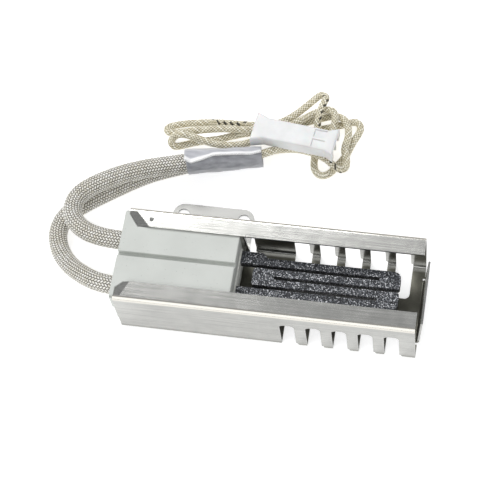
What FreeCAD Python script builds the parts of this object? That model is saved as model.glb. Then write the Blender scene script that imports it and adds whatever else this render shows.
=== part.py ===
import FreeCAD, Part
import math
import os

# Hot surface igniter for a gas burner.
# A silicon carbide element held by a ceramic block in a folded steel cage, with two sleeved leads.
# Millimetres. X runs along the cage to its open end, Y to the back, Z up.
# The origin lies on the surface the cage stands on, midway between the two mounting holes.

V = FreeCAD.Vector
UP = V(0, 0, 1)

# Folded steel cage
CAGE_LENGTH = 111.0
CAGE_DEPTH = 38.1
CAGE_HEIGHT = 25.4
SHEET = 0.8
BEND_INSIDE = 0.8
FLANGE_WIDTH = 7.6

# Mounting tab, left flat when the rear wall was folded up
TAB_WIDTH = 32.0
TAB_REACH = 15.6
TAB_CORNER = 4.4
TAB_CENTRE_FROM_LEFT = 27.0
TAB_RELIEF = 2.8
HOLE_SPACING = 23.8
HOLE_DIAMETER = 4.6
HOLE_FROM_WALL = 11.1

# Comb of air slots round both bottom corners
SLOT_COUNT = 5
SLOT_WIDTH = 5.6
SLOT_PITCH = 9.6
SLOT_FIRST_FROM_LEFT = 61.2
SLOT_TOP = 17.8
SLOT_TOP_CORNER = 2.2
SLOT_REACH = 14.7
SLOT_END_CORNER = 2.0
SLOT_FOOT_EXTRA = 0.8
SLOT_FOOT_CORNER = 0.7

# End flap that guards the tip of the element
FLAP_WIDTH = 25.2
FLAP_HEIGHT = 18.2
FLAP_LEAN = 4.7
FLAP_RELIEF = 1.0

# Corner ears, stop lugs and floor tongues that hold the block, the ears by side: 1 rear, -1 front.
# Each fold is given by how far from the left end it meets the flange's edge and the wall's bend,
# each cut corner by how far it runs along the edge and how much of the end it leaves
EAR_FOLD = {1: (8.6, 2.8), -1: (5.2, 2.6)}
EAR_CUT = {1: (3.8, 2.7), -1: (2.6, 5.2)}
EAR_ANGLE = 20.0
EAR_CLEARANCE = 0.12
EAR_ROOT = 1.2
LUG_TOP_WIDTH = 0.9
LUG_FOOT_WIDTH = 2.6
LUG_DROP = 13.4
TONGUE_WIDTH = 8.0
TONGUE_SEAT = 4.0
TONGUE_SLOPE = 40.0
TONGUE_GAP = 0.8
TONGUE_PLACES = (0.22, 0.72)
DIMPLE_DIAMETER = 1.8
DIMPLE_DEPTH = 0.4
DIMPLE_FROM_LEFT = 8.8
DIMPLE_FROM_WALL = 4.4

# Ceramic block of two halves
BLOCK_LENGTH = 44.4
BLOCK_OVERHANG = 1.7
HALF_HEIGHT = 9.5
HALF_SETBACK = 0.6
BLOCK_SIDE_GAP = 0.2
BLOCK_EDGE = 0.5
BEND_CLEARANCE = 0.2
GROOVE_WIDTH = 1.9
GROOVE_DEPTH = 1.8
MOUTH_DEPTH = 3.4
MOUTH_MARGIN = 0.9
PAD_CLEARANCE = 0.15
CLIP_ROOM_LENGTH = 9.0
CLIP_ROOM_WIDTH = 7.4
CLIP_ROOM_HEIGHT = 5.0

# Silicon carbide element, a flat serpentine
LEG_WIDTH = 2.85
LEG_GAP = 1.3
ELEMENT_THICKNESS = 3.0
ELEMENT_TIP_FROM_LEFT = 103.1
TIP_WEB = 8.4
TIP_CORNER = 2.6
TIP_INNER_CORNER = 0.9
CENTRE_LEG_START_FROM_LEFT = 48.5
CENTRE_WEB = 8.6
PAD_EXTRA = 2.0
PAD_END_FROM_LEFT = 53.0
PAD_CHAMFER = 1.8
PAD_INSERT = 12.0

# Contact clips and the refractory cement round the pads
CLIP_SHEET = 0.4
CLIP_GRIP = 6.0
BARREL_DIAMETER = 2.6
BARREL_LENGTH = 7.0
CEMENT_BULGE = 0.5

# Braided sleeves over the block's two leads
SLEEVE_DIAMETER = 7.4
SLEEVE_SPACING = 18.8
SLEEVE_INSERT = 5.0
SLEEVE_STRAIGHT = 10.0
SLEEVE_CLEARANCE = 0.1

# Splice tube that covers the two splices
SPLICE_LENGTH = 29.0
SPLICE_WALL = 0.7
SPLICE_YAW = 14.1
SPLICE_LEFT = (-12.4, 18.2, 8.9)
SPLICE_MOUTH = 1.5
SPLICE_MOUTH_CLEARANCE = 0.4
SPLICE_ACROSS = 1.8
SPLICE_RISE = 3.75
SPLICE_END_RADIUS = 3.9
SPLICE_END_DROP = 3.1
CRIMP_DIAMETER = 3.4
CRIMP_LENGTH = 9.0
CRIMP_FROM_END = 3.0
CRIMP_CLEARANCE = 0.4

# Thin leads from the splices to the connector
LEAD_DIAMETER = 3.0
LEAD_END_RISE = 1.55
LAYER_HEIGHT = 3.2
LAYER_GAP = 0.1
HANK_ROUND_SHARE = 0.3
HANK_FOLD = 0.45

# Two-way connector housing and its terminals
HOUSING_LENGTH = 33.0
HOUSING_WIDTH = 9.2
HOUSING_HEIGHT = 6.0
HOUSING_YAW = -7.0
HOUSING_LEFT = (11.2, 35.6)
HOUSING_EDGE = 0.6
CAVITY = 3.3
CAVITY_SPACING = 4.3
FLARE_LENGTH = 5.0
FLARE_OUT = 1.7
COLLAR_LENGTH = 3.6
COLLAR_OUT = 1.5
LATCH_LENGTH = 5.0
LATCH_WIDTH = 3.4
LATCH_DEPTH = 0.5
TERMINAL_SHEET = 0.3
TERMINAL_LENGTH = 12.0
TERMINAL_BARREL = 5.0
TERMINAL_CLEARANCE = 0.1
TERMINAL_LAP = 1.0

# How far a cutter runs past a face, and the length that tells one edge of a shape from another
PAST = 1.0
NEAR = 0.1

# Places worked out from the sizes above
LEFT = -TAB_CENTRE_FROM_LEFT
RIGHT = LEFT + CAGE_LENGTH
REAR = -HOLE_FROM_WALL
FRONT = REAR - CAGE_DEPTH
MIDDLE = (FRONT + REAR) / 2
BEND_OUTSIDE = SHEET + BEND_INSIDE
BLOCK_LEFT = LEFT - BLOCK_OVERHANG
BLOCK_RIGHT = BLOCK_LEFT + BLOCK_LENGTH
BLOCK_TOP = CAGE_HEIGHT - SHEET
PARTING = BLOCK_TOP - HALF_HEIGHT
BLOCK_BOTTOM = PARTING - HALF_HEIGHT
ELEMENT_WIDTH = 4 * LEG_WIDTH + 3 * LEG_GAP
PAD_WIDTH = LEG_WIDTH + PAD_EXTRA
PAD_OUTER = ELEMENT_WIDTH / 2 + PAD_EXTRA
PAD_CENTRE = PAD_OUTER - PAD_WIDTH / 2
SLEEVE_OFFSET = SLEEVE_SPACING / 2
LOWER_LAYER = LAYER_GAP
UPPER_LAYER = LOWER_LAYER + LAYER_HEIGHT + LAYER_GAP
HANK_TOP = UPPER_LAYER + LAYER_HEIGHT + LAYER_GAP

# Routes of the two sleeves past the block, chosen from the way the leads lie
REAR_SLEEVE_ROUTE = [
    (-43.8, -18.6, 13.7),
    (-50.8, -13.7, 12.4),
    (-53.2, -7.7, 11.7),
    (-52.0, -1.8, 11.5),
    (-47.2, 2.9, 11.5),
    (-38.8, 8.3, 11.4),
    (-29.8, 11.9, 11.6),
    (-21.0, 14.4, 11.9),
]
FRONT_SLEEVE_ROUTE = [
    (-42.4, -35.4, 11.7),
    (-50.4, -29.8, 7.3),
    (-56.2, -22.8, 4.7),
    (-59.0, -14.8, 4.0),
    (-57.2, -7.2, 3.9),
    (-50.8, -1.4, 3.9),
    (-42.2, 4.9, 3.9),
    (-33.0, 11.3, 3.9),
    (-24.0, 16.2, 4.1),
]

# Routes of the two thin leads from the splice tube into their hanks
TRACER_LEAD_ROUTE = [(20.0, 27.0, 6.0), (25.2, 30.2, 5.0)]
PLAIN_LEAD_ROUTE = [(19.8, 26.4, 2.6), (25.0, 31.4, 1.7)]

# Outlines of the two loose hanks of thin lead, seen from above, and their open middles
TRACER_HANK = [
    (-25.4, 36.8), (-20.8, 40.6), (-10.0, 42.4), (10.0, 41.0), (22.0, 45.6), (33.0, 58.2),
    (37.2, 57.0), (39.0, 49.0), (47.5, 46.6), (51.5, 38.0), (49.6, 24.0), (44.5, 21.2),
    (38.5, 27.0), (30.0, 29.0), (18.0, 30.5), (6.0, 33.8), (-12.0, 33.6), (-20.8, 33.2),
]
TRACER_HANK_EYE = [(44.2, 31.0), (47.2, 33.0), (47.6, 38.0), (45.6, 42.4), (43.6, 39.0)]
PLAIN_HANK = [
    (-23.2, 30.6), (-18.8, 35.0), (-8.0, 37.8), (10.0, 38.6), (24.0, 45.0), (36.0, 52.2),
    (41.6, 49.6), (48.0, 48.2), (53.6, 46.8), (53.4, 40.0), (49.4, 28.0), (46.4, 22.0),
    (38.4, 19.4), (33.4, 23.6), (31.0, 30.0), (16.0, 30.0), (-2.0, 30.2), (-13.0, 28.0),
    (-20.4, 27.4),
]
PLAIN_HANK_EYE = [(38.2, 24.6), (42.0, 25.6), (45.2, 31.0), (49.4, 38.0), (49.0, 43.6), (43.0, 41.0)]


def box(x0, x1, y0, y1, z0, z1):
    """A block between two corners."""
    return Part.makeBox(x1 - x0, y1 - y0, z1 - z0, V(x0, y0, z0))


def prism(points, along):
    """A solid swept straight from a closed outline of points."""
    return Part.Face(Part.makePolygon(points + [points[0]])).extrude(along)


def arc(centre, across, up, radius, start, end):
    """An arc in the plane of two directions, between two angles in degrees."""
    def at(angle):
        a = math.radians(angle)
        return centre + across * (radius * math.cos(a)) + up * (radius * math.sin(a))
    return Part.Arc(at(start), at((start + end) / 2), at(end)).toShape()


def corner_arc(before, point, after, reach):
    """The arc that rounds one corner of a path, its two ends and its radius."""
    back = (before - point).normalize()
    ahead = (after - point).normalize()
    half_turn = (math.pi - back.getAngle(ahead)) / 2
    radius = reach / math.tan(half_turn)
    start = point + back * reach
    end = point + ahead * reach
    to_centre = (back + ahead).normalize()
    centre = point + to_centre * math.hypot(reach, radius)
    middle = centre - to_centre * radius
    return Part.Arc(start, middle, end).toShape(), start, end, radius


def rounded_path(points, share, closed=False):
    """Straight runs joined by tangent arcs, as one wire, with the arcs' radii."""
    count = len(points)
    first, last = (0, count) if closed else (1, count - 1)
    edges = []
    radii = []
    ends = []
    for i in range(first, last):
        before, point, after = points[i - 1], points[i], points[(i + 1) % count]
        reach = share * min((point - before).Length, (after - point).Length)
        edge, start, end, radius = corner_arc(before, point, after, reach)
        ends.append((edge, start, end))
        radii.append(radius)
    here = ends[-1][2] if closed else points[0]
    for edge, start, end in ends:
        edges.append(Part.LineSegment(here, start).toShape())
        edges.append(edge)
        here = end
    if not closed:
        edges.append(Part.LineSegment(here, points[-1]).toShape())
    return Part.Wire(edges), radii


def cord_tube(name, points, diameter):
    """A round tube along a route, with its arcs' radii and its volume printed."""
    wire, radii = rounded_path(points, HANK_FOLD)
    direction = (points[1] - points[0]).normalize()
    ring = Part.Wire(Part.Circle(points[0], direction, diameter / 2).toShape())
    tube = wire.makePipeShell([ring], True, False)
    expected = math.pi * diameter ** 2 / 4 * wire.Length
    print(name, "length %.1f" % wire.Length, "arc radii", [round(r, 1) for r in radii],
          "volume over section times length %.4f" % (tube.Volume / expected))
    return tube


def cage_channel():
    """The channel section with its two top flanges, as folded from one sheet."""
    def ring(inset, radius):
        y0, y1 = FRONT + inset, REAR - inset
        z0, z1 = inset, CAGE_HEIGHT - inset
        block = box(LEFT, RIGHT, y0, y1, z0, z1)
        edges = [e for e in block.Edges if e.BoundBox.XLength > NEAR]
        return block.makeFillet(radius, edges)
    channel = ring(0, BEND_OUTSIDE).cut(ring(SHEET, BEND_INSIDE))
    gap = box(LEFT - PAST, RIGHT + PAST, FRONT + FLANGE_WIDTH, REAR - FLANGE_WIDTH,
              CAGE_HEIGHT - BEND_OUTSIDE, CAGE_HEIGHT + PAST)
    return channel.cut(gap)


def comb_slot(start, side):
    """The cutter of one slot: up the wall, round the bend and a little wider into the floor."""
    wall = REAR if side > 0 else FRONT
    outside = wall + side
    root = wall - side * (BEND_OUTSIDE + SLOT_END_CORNER)
    reach = wall - side * SLOT_REACH
    end = start + SLOT_WIDTH
    up = box(start, end, min(outside, root), max(outside, root), -PAST, SLOT_TOP)
    top_edges = [e for e in up.Edges if e.BoundBox.YLength > NEAR and e.BoundBox.ZMin > SLOT_TOP - NEAR]
    up = up.makeFillet(SLOT_TOP_CORNER, top_edges)
    foot_end = end + SLOT_FOOT_EXTRA
    along = box(start, foot_end, min(outside, reach), max(outside, reach),
                -PAST, BEND_OUTSIDE + SLOT_FOOT_EXTRA)
    foot_edges = [e for e in along.Edges if e.BoundBox.YLength > NEAR
                  and e.BoundBox.XMin > foot_end - NEAR and e.BoundBox.ZMin > BEND_OUTSIDE]
    along = along.makeFillet(SLOT_FOOT_CORNER, foot_edges)
    inner_edges = [e for e in along.Edges if e.BoundBox.ZLength > SLOT_FOOT_EXTRA
                   and abs(e.BoundBox.Center.y - reach) < NEAR]
    along = along.makeFillet(SLOT_END_CORNER, inner_edges)
    return up.fuse(along)


def cut_comb(cage):
    """Both rows of air slots."""
    for side in (-1, 1):
        for i in range(SLOT_COUNT):
            cage = cage.cut(comb_slot(LEFT + SLOT_FIRST_FROM_LEFT + i * SLOT_PITCH, side))
    return cage


def add_tab(cage):
    """The mounting tab in the plane of the floor, and the window it leaves in the rear wall."""
    x0, x1 = -TAB_WIDTH / 2, TAB_WIDTH / 2
    root = REAR - BEND_OUTSIDE
    window = box(x0 - TAB_RELIEF, x1 + TAB_RELIEF, root, REAR + PAST, -PAST, TAB_REACH + SHEET)
    top_edges = [e for e in window.Edges if e.BoundBox.YLength > NEAR and e.BoundBox.ZMin > TAB_REACH]
    window = window.makeFillet(TAB_CORNER, top_edges)
    cage = cage.cut(window)
    for side in (-1, 1):
        centre = side * (TAB_WIDTH + TAB_RELIEF) / 2
        cage = cage.cut(Part.makeCylinder(TAB_RELIEF / 2, 3 * SHEET, V(centre, root, -SHEET)))
    tab = box(x0, x1, root, REAR + TAB_REACH, 0, SHEET)
    outer_edges = [e for e in tab.Edges if e.BoundBox.ZLength > NEAR and e.BoundBox.YMin > REAR]
    tab = tab.makeFillet(TAB_CORNER, outer_edges)
    for side in (-1, 1):
        tab = tab.cut(Part.makeCylinder(HOLE_DIAMETER / 2, 3 * SHEET,
                                        V(side * HOLE_SPACING / 2, 0, -SHEET)))
    return cage.fuse(tab)


def add_flap(cage):
    """The flap folded up from the floor at the open end, leaning slightly outward."""
    y0, y1 = MIDDLE - FLAP_WIDTH / 2, MIDDLE + FLAP_WIDTH / 2
    bend = RIGHT - BEND_INSIDE
    cage = cage.cut(box(bend, RIGHT + PAST, y0 - FLAP_RELIEF, y1 + FLAP_RELIEF, -PAST, BEND_OUTSIDE))
    across, up = V(1, 0, 0), V(0, 0, 1)
    centre = V(bend, y0, BEND_OUTSIDE)
    lean = math.radians(FLAP_LEAN)
    plate = V(math.sin(lean), 0, math.cos(lean)) * ((FLAP_HEIGHT - BEND_OUTSIDE) / math.cos(lean))
    outer = arc(centre, across, up, BEND_OUTSIDE, -90, -FLAP_LEAN)
    inner = arc(centre, across, up, BEND_INSIDE, -90, -FLAP_LEAN)
    foot_out, top_of_arc = outer.valueAt(outer.FirstParameter), outer.valueAt(outer.LastParameter)
    foot_in, inner_top = inner.valueAt(inner.FirstParameter), inner.valueAt(inner.LastParameter)
    wire = Part.Wire(Part.__sortEdges__([
        outer,
        Part.LineSegment(top_of_arc, top_of_arc + plate).toShape(),
        Part.LineSegment(top_of_arc + plate, inner_top + plate).toShape(),
        Part.LineSegment(inner_top + plate, inner_top).toShape(),
        inner,
        Part.LineSegment(foot_in, foot_out).toShape(),
    ]))
    return cage.fuse(Part.Face(wire).extrude(V(0, FLAP_WIDTH, 0)))


def ear_outline(side, room):
    """The outline in plan of one ear before it is folded, with room round it."""
    wall = REAR if side > 0 else FRONT
    at_edge, at_bend = EAR_FOLD[side]
    along, across = EAR_CUT[side]
    plan = [(at_edge + room, FLANGE_WIDTH + room), (at_bend + room, EAR_ROOT), (-room, EAR_ROOT),
            (-room, across + room / 2), (along - room / 2, FLANGE_WIDTH + room)]
    return [V(LEFT + x, wall - side * y, 0) for x, y in plan]


def folded_ear(side, room, above):
    """A plate as thick as the sheet and the room, folded down about the ear's fold line."""
    under = SHEET + room
    plate = prism([p + UP * (CAGE_HEIGHT - under) for p in ear_outline(side, room)], UP * (under + above))
    at_edge, at_bend = ear_outline(side, 0)[:2]
    plate.rotate(at_bend + UP * CAGE_HEIGHT, at_edge - at_bend, side * EAR_ANGLE)
    return plate


def flange_corner(side):
    """The cutter of the flat corner of one flange, left of the ear's fold line."""
    wall = REAR if side > 0 else FRONT
    at_edge, at_bend = EAR_FOLD[side]
    plan = [(at_edge, FLANGE_WIDTH), (at_bend, BEND_OUTSIDE), (-PAST, BEND_OUTSIDE),
            (-PAST, FLANGE_WIDTH + PAST), (at_edge, FLANGE_WIDTH + PAST)]
    return prism([V(LEFT + x, wall - side * y, BLOCK_TOP) for x, y in plan], UP * (SHEET + PAST))


def add_ears(cage):
    """The left corners of the flanges, cut off at an angle and folded down into pockets of the block."""
    for side in (-1, 1):
        cage = cage.cut(flange_corner(side)).fuse(folded_ear(side, 0, 0))
    return cage


def add_lugs(cage):
    """A lug folded down from each flange, whose edge keeps the block from sliding out."""
    for side in (-1, 1):
        edge = (REAR if side > 0 else FRONT) - side * FLANGE_WIDTH
        top, foot = CAGE_HEIGHT - SHEET / 2, CAGE_HEIGHT - LUG_DROP
        x = BLOCK_RIGHT
        outline = [V(x, edge, top), V(x + LUG_TOP_WIDTH, edge, top),
                   V(x + LUG_FOOT_WIDTH, edge, foot), V(x, edge, foot)]
        cage = cage.fuse(prism(outline, V(0, side * SHEET, 0)))
    return cage


def add_tongues(cage):
    """Two tongues pressed up out of the floor, which hold the block against the flanges."""
    slope = math.radians(TONGUE_SLOPE)
    rise = BLOCK_BOTTOM - SHEET
    run = rise / math.tan(slope)
    y0, y1 = MIDDLE - TONGUE_WIDTH / 2, MIDDLE + TONGUE_WIDTH / 2
    for place in TONGUE_PLACES:
        x = BLOCK_LEFT + place * BLOCK_LENGTH - (run + TONGUE_SEAT) / 2
        end = x + run + TONGUE_SEAT + TONGUE_GAP
        hole = box(x, end, y0 - TONGUE_GAP, y1 + TONGUE_GAP, -PAST, SHEET + PAST)
        lower = [(x, 0), (x + run, rise), (x + run + TONGUE_SEAT, rise)]
        upper = [(px, pz + SHEET) for px, pz in reversed(lower)]
        outline = [V(px, y0, pz) for px, pz in lower + upper]
        cage = cage.cut(hole).fuse(prism(outline, V(0, TONGUE_WIDTH, 0)))
    return cage


def punch_dimple(cage):
    """The punch mark on the rear flange."""
    cone = Part.makeCone(0, DIMPLE_DIAMETER / 2, DIMPLE_DEPTH)
    cone.translate(V(LEFT + DIMPLE_FROM_LEFT, REAR - DIMPLE_FROM_WALL, CAGE_HEIGHT - DIMPLE_DEPTH))
    return cage.cut(cone)


def make_cage():
    """The whole cage, one folded sheet."""
    cage = cage_channel()
    cage = cut_comb(cage)
    cage = add_tab(cage)
    cage = add_flap(cage)
    cage = add_ears(cage)
    cage = add_lugs(cage)
    cage = add_tongues(cage)
    cage = punch_dimple(cage)
    return cage.removeSplitter()


def block_cavities():
    """The hollows that the two halves share: lead bores, clip rooms, pad channels and the mouth."""
    hollows = []
    half_pad = PAD_WIDTH / 2 + PAD_CLEARANCE
    half_thick = ELEMENT_THICKNESS / 2 + PAD_CLEARANCE
    room_end = BLOCK_RIGHT - PAD_INSERT + CLIP_GRIP / 2
    bore_end = room_end - CLIP_ROOM_LENGTH
    bore = SLEEVE_DIAMETER / 2 + SLEEVE_CLEARANCE
    for side in (-1, 1):
        lead = MIDDLE + side * SLEEVE_OFFSET
        pad = MIDDLE + side * PAD_CENTRE
        mouth_start = V(BLOCK_LEFT - PAST, lead, PARTING)
        hollows.append(Part.makeCylinder(bore, SLEEVE_INSERT + PAST, mouth_start, V(1, 0, 0)))
        hollows.append(Part.makeCylinder(BARREL_DIAMETER / 2 + PAD_CLEARANCE, bore_end - BLOCK_LEFT + PAST,
                                         V(BLOCK_LEFT, lead, PARTING), V(1, 0, 0)))
        centre = (lead + pad) / 2
        hollows.append(box(bore_end, room_end, centre - CLIP_ROOM_WIDTH / 2, centre + CLIP_ROOM_WIDTH / 2,
                           PARTING - CLIP_ROOM_HEIGHT / 2, PARTING + CLIP_ROOM_HEIGHT / 2))
        hollows.append(box(room_end - PAST, BLOCK_RIGHT + PAST, pad - half_pad, pad + half_pad,
                           PARTING - half_thick, PARTING + half_thick))
    hollows.append(mouth(0))
    return hollows


def mouth(bulge):
    """The recess in the block's end face round both pads; with a bulge, the cement that fills it."""
    half = PAD_OUTER + MOUTH_MARGIN
    thick = ELEMENT_THICKNESS / 2 + MOUTH_MARGIN
    reach = bulge if bulge else PAST
    shape = box(BLOCK_RIGHT - MOUTH_DEPTH, BLOCK_RIGHT + reach, MIDDLE - half, MIDDLE + half,
                PARTING - thick, PARTING + thick)
    along_x = [e for e in shape.Edges if e.BoundBox.XLength > NEAR]
    return shape.makeFillet(MOUTH_MARGIN, along_x)


def make_block_half(z0, z1, left):
    """One half of the ceramic block, with softened outer edges."""
    y0 = FRONT + SHEET + BLOCK_SIDE_GAP
    y1 = REAR - SHEET - BLOCK_SIDE_GAP
    half = box(left, BLOCK_RIGHT, y0, y1, z0, z1)
    half = half.makeFillet(BLOCK_EDGE, half.Edges)
    for hollow in block_cavities():
        half = half.cut(hollow)
    return half


def make_block_top_half():
    """The upper half, with the groove along its top and the pockets for the ears."""
    half = make_block_half(PARTING, BLOCK_TOP, BLOCK_LEFT)
    groove = box(BLOCK_LEFT - PAST, BLOCK_RIGHT + PAST, MIDDLE - GROOVE_WIDTH / 2, MIDDLE + GROOVE_WIDTH / 2,
                 BLOCK_TOP - GROOVE_DEPTH, BLOCK_TOP + PAST)
    half = half.cut(groove)
    for side in (-1, 1):
        wall = REAR if side > 0 else FRONT
        relief = BEND_INSIDE + BEND_CLEARANCE
        y0, y1 = wall - side * (SHEET + relief), wall
        half = half.cut(box(BLOCK_LEFT - PAST, BLOCK_RIGHT + PAST, min(y0, y1), max(y0, y1),
                            BLOCK_TOP - relief, BLOCK_TOP + PAST))
        half = half.cut(folded_ear(side, EAR_CLEARANCE, 2 * SHEET))
    return half


def make_block_bottom_half():
    """The lower half, set back a little at the lead end and relieved over the floor bends."""
    return make_block_half(BLOCK_BOTTOM, PARTING, BLOCK_LEFT + HALF_SETBACK)


def element_plan():
    """The element's flat outline as a plate, before its gaps are sawn."""
    z0 = PARTING - ELEMENT_THICKNESS / 2
    tip = LEFT + ELEMENT_TIP_FROM_LEFT
    half = ELEMENT_WIDTH / 2
    bars = box(BLOCK_RIGHT - PAD_INSERT, tip, MIDDLE - half, MIDDLE + half, z0, z0 + ELEMENT_THICKNESS)
    tip_edges = [e for e in bars.Edges if e.BoundBox.ZLength > NEAR and e.BoundBox.XMin > tip - NEAR]
    plate = bars.makeFillet(TIP_CORNER, tip_edges)
    pad_end = LEFT + PAD_END_FROM_LEFT
    for side in (-1, 1):
        inner, outer = MIDDLE + side * (half - LEG_WIDTH), MIDDLE + side * PAD_OUTER
        start = BLOCK_RIGHT - PAD_INSERT
        outline = [V(start, inner, z0), V(pad_end, inner, z0), V(pad_end, outer - side * PAD_CHAMFER, z0),
                   V(pad_end - PAD_CHAMFER, outer, z0), V(start, outer, z0)]
        plate = plate.fuse(prism(outline, V(0, 0, ELEMENT_THICKNESS)))
    return plate


def saw_gap(x0, x1, centre, rounded_left):
    """The cutter of one gap between legs, with its blind end rounded."""
    half = LEG_GAP / 2
    z0 = PARTING - ELEMENT_THICKNESS
    cut = box(x0, x1, centre - half, centre + half, z0, z0 + 2 * ELEMENT_THICKNESS)
    end = x0 if rounded_left else x1
    return cut.fuse(Part.makeCylinder(half, 2 * ELEMENT_THICKNESS, V(end, centre, z0)))


def make_element():
    """The heating element: four legs joined in a flat serpentine, sawn from one plate."""
    plate = element_plan()
    pitch = LEG_WIDTH + LEG_GAP
    start = BLOCK_RIGHT - PAD_INSERT - PAST
    tip = LEFT + ELEMENT_TIP_FROM_LEFT
    for side in (-1, 1):
        plate = plate.cut(saw_gap(start, tip - TIP_WEB, MIDDLE + side * pitch, False))
    plate = plate.cut(saw_gap(LEFT + CENTRE_LEG_START_FROM_LEFT + CENTRE_WEB, tip + PAST, MIDDLE, True))
    inner = pitch - LEG_GAP / 2
    behind = box(start, LEFT + CENTRE_LEG_START_FROM_LEFT, MIDDLE - inner, MIDDLE + inner,
                 PARTING - ELEMENT_THICKNESS, PARTING + ELEMENT_THICKNESS)
    plate = plate.cut(behind)
    tip_inner = [e for e in plate.Edges if e.BoundBox.ZLength > NEAR and e.BoundBox.XMin > tip - NEAR
                 and abs(e.BoundBox.Center.y - MIDDLE) < LEG_GAP]
    left_outer = [e for e in plate.Edges if e.BoundBox.ZLength > NEAR
                  and abs(e.BoundBox.Center.x - LEFT - CENTRE_LEG_START_FROM_LEFT) < NEAR]
    return plate.makeFillet(TIP_INNER_CORNER, tip_inner + left_outer)


def make_cement(element):
    """The refractory cement cast round the pads in the block's mouth."""
    return mouth(CEMENT_BULGE).cut(element)


def make_clip(side):
    """A nickel clip: a folded sheet over the pad's end, drawn down to a crimp barrel on the lead."""
    lead = MIDDLE + side * SLEEVE_OFFSET
    pad = MIDDLE + side * PAD_CENTRE
    x1 = BLOCK_RIGHT - PAD_INSERT + CLIP_GRIP / 2 - CLIP_SHEET
    x0 = BLOCK_RIGHT - PAD_INSERT - CLIP_SHEET
    half = PAD_WIDTH / 2
    thick = ELEMENT_THICKNESS / 2
    grip = box(x0, x1, pad - half + CLIP_SHEET, pad + half - CLIP_SHEET, PARTING - thick - CLIP_SHEET,
               PARTING + thick + CLIP_SHEET)
    grip = grip.cut(box(x0 + CLIP_SHEET, x1 + PAST, pad - half - PAST, pad + half + PAST,
                        PARTING - thick, PARTING + thick))
    barrel_end = x0 - CLIP_SHEET
    barrel = Part.makeCylinder(BARREL_DIAMETER / 2, BARREL_LENGTH,
                               V(barrel_end - BARREL_LENGTH, lead, PARTING), V(1, 0, 0))
    y0, y1 = min(lead, pad) - BARREL_DIAMETER / 2, max(lead, pad) + BARREL_DIAMETER / 2
    web = box(barrel_end - CLIP_SHEET, x0, y0, y1,
              PARTING - BARREL_DIAMETER / 2, PARTING + BARREL_DIAMETER / 2)
    return grip.fuse(barrel).fuse(web).removeSplitter()


def splice_frame():
    """The splice tube's directions: along it, across it, and its left end."""
    yaw = math.radians(SPLICE_YAW)
    return V(math.cos(yaw), math.sin(yaw), 0), V(-math.sin(yaw), math.cos(yaw), 0), V(*SPLICE_LEFT)


def splice_point(along, side):
    """The middle of one sleeve (left end) or lead (right end) in the splice tube."""
    direction, across, left = splice_frame()
    share = along / SPLICE_LENGTH
    rise = SPLICE_RISE + (LEAD_END_RISE - SPLICE_RISE) * share
    spread = SPLICE_ACROSS + (SPLICE_ACROSS * LEAD_END_RISE / SPLICE_RISE - SPLICE_ACROSS) * share
    drop = SPLICE_END_DROP * share
    return left + direction * along + across * (-side * spread) + UP * (side * rise - drop)


def oval(along, radius):
    """A wire round both leads at one place along the splice tube: two half circles and two lines."""
    direction, across, left = splice_frame()
    top, foot = splice_point(along, 1), splice_point(along, -1)
    up = (top - foot).normalize()
    side = direction.cross(up)
    edges = [
        arc(top, side, up, radius, 0, 180),
        Part.LineSegment(top - side * radius, foot - side * radius).toShape(),
        arc(foot, side, up, radius, 180, 360),
        Part.LineSegment(foot + side * radius, top + side * radius).toShape(),
    ]
    return Part.Wire(edges)


def make_splice_tube():
    """The shrunk tube over both splices: a tall oval at the sleeves, drawn in towards the thin leads."""
    mouth_radius = SLEEVE_DIAMETER / 2 + SPLICE_MOUTH_CLEARANCE + SPLICE_WALL
    outer = Part.makeLoft([oval(0, mouth_radius), oval(SPLICE_LENGTH, SPLICE_END_RADIUS)], True, True)
    inner = Part.makeLoft([oval(0, mouth_radius - SPLICE_WALL),
                           oval(SPLICE_LENGTH, SPLICE_END_RADIUS - SPLICE_WALL)], True, True)
    return outer.cut(inner)


def make_crimp(side):
    """A crimped barrel that joins a sleeve's wire to a thin lead."""
    along = SPLICE_LENGTH - CRIMP_FROM_END - CRIMP_LENGTH
    start, end = splice_point(along, side), splice_point(along + CRIMP_LENGTH, side)
    return Part.makeCylinder(CRIMP_DIAMETER / 2, CRIMP_LENGTH, start, end - start)


def make_sleeve(name, side, route):
    """One braided sleeve, from its bore in the block to the mouth of the splice tube."""
    start = V(BLOCK_LEFT + SLEEVE_INSERT, MIDDLE + side * SLEEVE_OFFSET, PARTING)
    end = splice_point(SPLICE_MOUTH, side)
    points = [start, start - V(SLEEVE_STRAIGHT, 0, 0)] + [V(*p) for p in route] + [end]
    return cord_tube(name, points, SLEEVE_DIAMETER)


def hank(outline, eye, z0):
    """A loose hank of lead as one flat solid with its open middle."""
    def plate(points, height, base):
        wire = rounded_path([V(x, y, base) for x, y in points], HANK_FOLD, closed=True)[0]
        return Part.Face(wire).extrude(UP * height)
    solid = plate(outline, LAYER_HEIGHT, z0)
    rims = [e for e in solid.Edges if e.BoundBox.ZLength < NEAR]
    solid = solid.makeFillet(HANK_ROUND_SHARE * LAYER_HEIGHT, rims)
    return solid.cut(plate(eye, LAYER_HEIGHT + 2 * PAST, z0 - PAST))


def make_lead(name, side, route):
    """One thin lead from its splice to its hank."""
    start = splice_point(SPLICE_LENGTH - CRIMP_FROM_END + CRIMP_CLEARANCE, side)
    points = [start] + [V(*p) for p in route]
    return cord_tube(name, points, LEAD_DIAMETER)


def place_on_hank(shape):
    """Turns and moves a shape from the housing's own frame to where it lies on the hank."""
    shape.rotate(V(0, 0, 0), UP, HOUSING_YAW)
    shape.translate(V(HOUSING_LEFT[0], HOUSING_LEFT[1], HANK_TOP))
    return shape


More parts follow.
